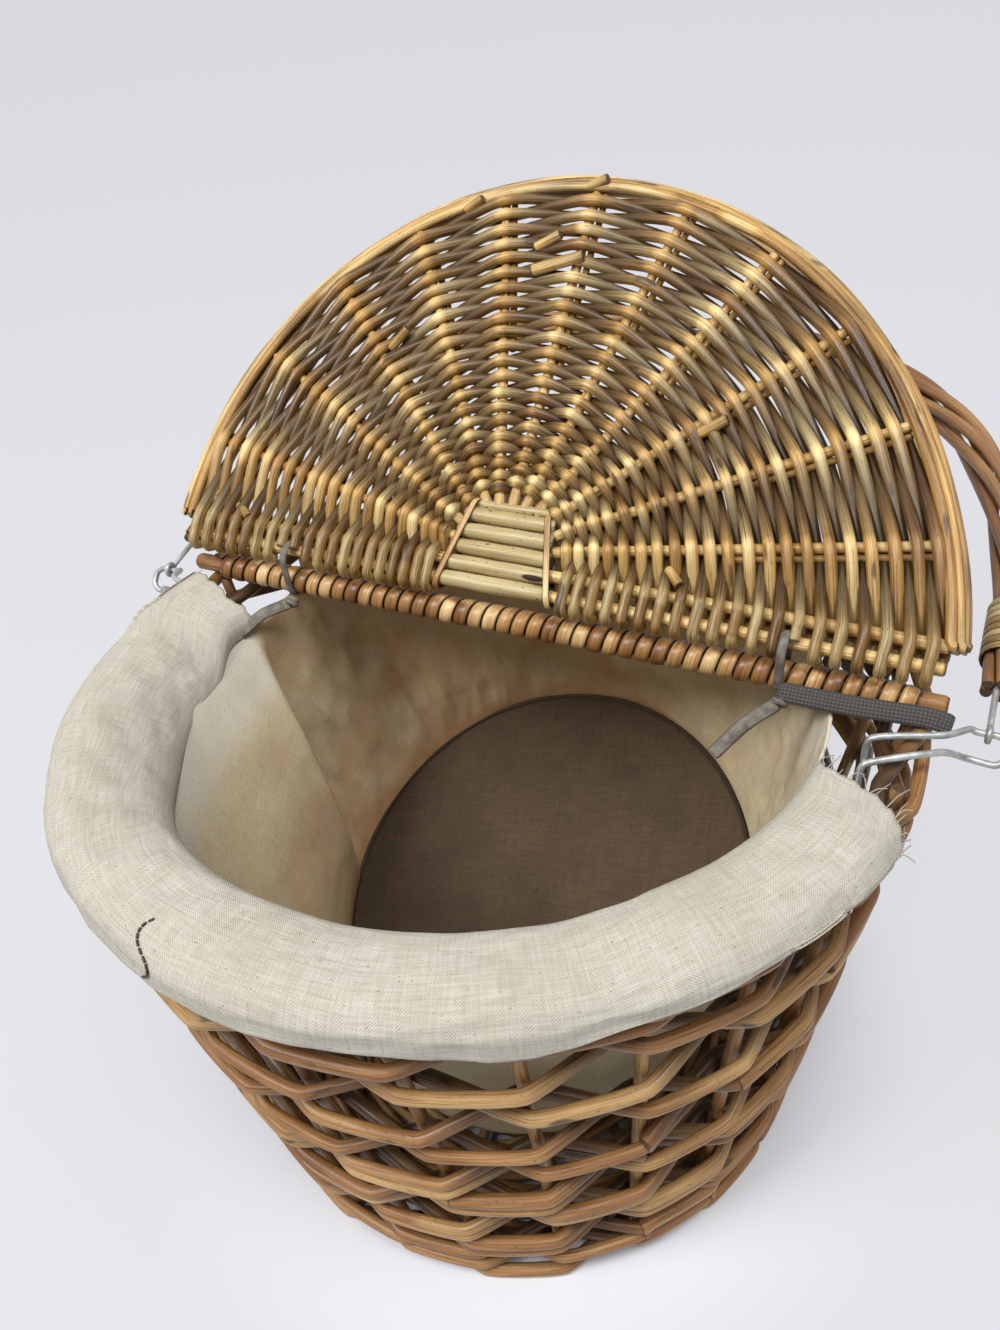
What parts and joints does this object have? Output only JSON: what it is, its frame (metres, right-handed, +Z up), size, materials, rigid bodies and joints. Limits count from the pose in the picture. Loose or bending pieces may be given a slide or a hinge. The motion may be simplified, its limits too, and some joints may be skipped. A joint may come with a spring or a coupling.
{
  "type": "wicker fishing creel",
  "caption": "Round woven willow basket with a linen liner folded over its rim, a wrapped cross bar, a D-shaped woven lid on leather thongs and a twisted swing handle.",
  "frame": {"origin": "middle of the base, on the surface that it stands on", "axes": "+X along the wrapped bar to the picture's right, +Y to the back where the open lid leans, +Z up"},
  "size_m": [0.4372, 0.5006, 0.4012],
  "materials": {
    "willow": "dry peeled willow, warm tan, semi-matte",
    "pale_willow": "pale peeled willow, semi-matte",
    "willow_skein": "split willow skein, darkened, semi-matte",
    "dark_willow": "brown willow, worn smooth, semi-matte",
    "linen": "coarse undyed linen, aged off-white, matte",
    "thong_leather": "dry grey-brown leather thong, matte",
    "strap_braid": "dark grey flat braid, matte",
    "galvanised_wire": "dull galvanised wire"
  },
  "bodies": {
    "basket": {"wall_stakes": "willow", "foot_wale": "willow", "wall_weave": "willow", "rim_wale": "willow", "base_sticks_across": "pale_willow", "base_sticks_along": "pale_willow", "base_spokes": "willow", "base_weave": "willow", "liner_bag": "linen", "liner_bottom": "linen", "front_cuff": "linen", "rear_cuff": "linen", "cross_bar": "willow", "bar_skein": "willow_skein", "thong_loops": "thong_leather", "thong_knots": "thong_leather", "thong_tails": "thong_leather", "braided_strap": "strap_braid", "wall_staples": "galvanised_wire"},
    "lid": {"lid_edge_sticks": "willow", "slath_sticks": "pale_willow", "slath_bindings": "willow_skein", "lid_edge_bindings": "willow_skein", "lid_stakes": "willow", "lid_weave": "willow", "lid_border": "willow"},
    "handle": {"handle_rods": "dark_willow", "handle_wraps": "willow_skein", "handle_eyes": "galvanised_wire"}
  },
  "joints": [
    {"name": "lid_hinge", "type": "hinge", "parent": "basket", "child": "lid", "pos_m": [0, 0.0457, 0.27], "axis": [1, 0, 0], "range_deg": [0, 144.8]},
    {"name": "handle_swing", "type": "hinge", "parent": "basket", "child": "handle", "pos_m": [0, 0.0457, 0.245], "axis": [1, 0, 0], "range_deg": [0, 164]}
  ]
}
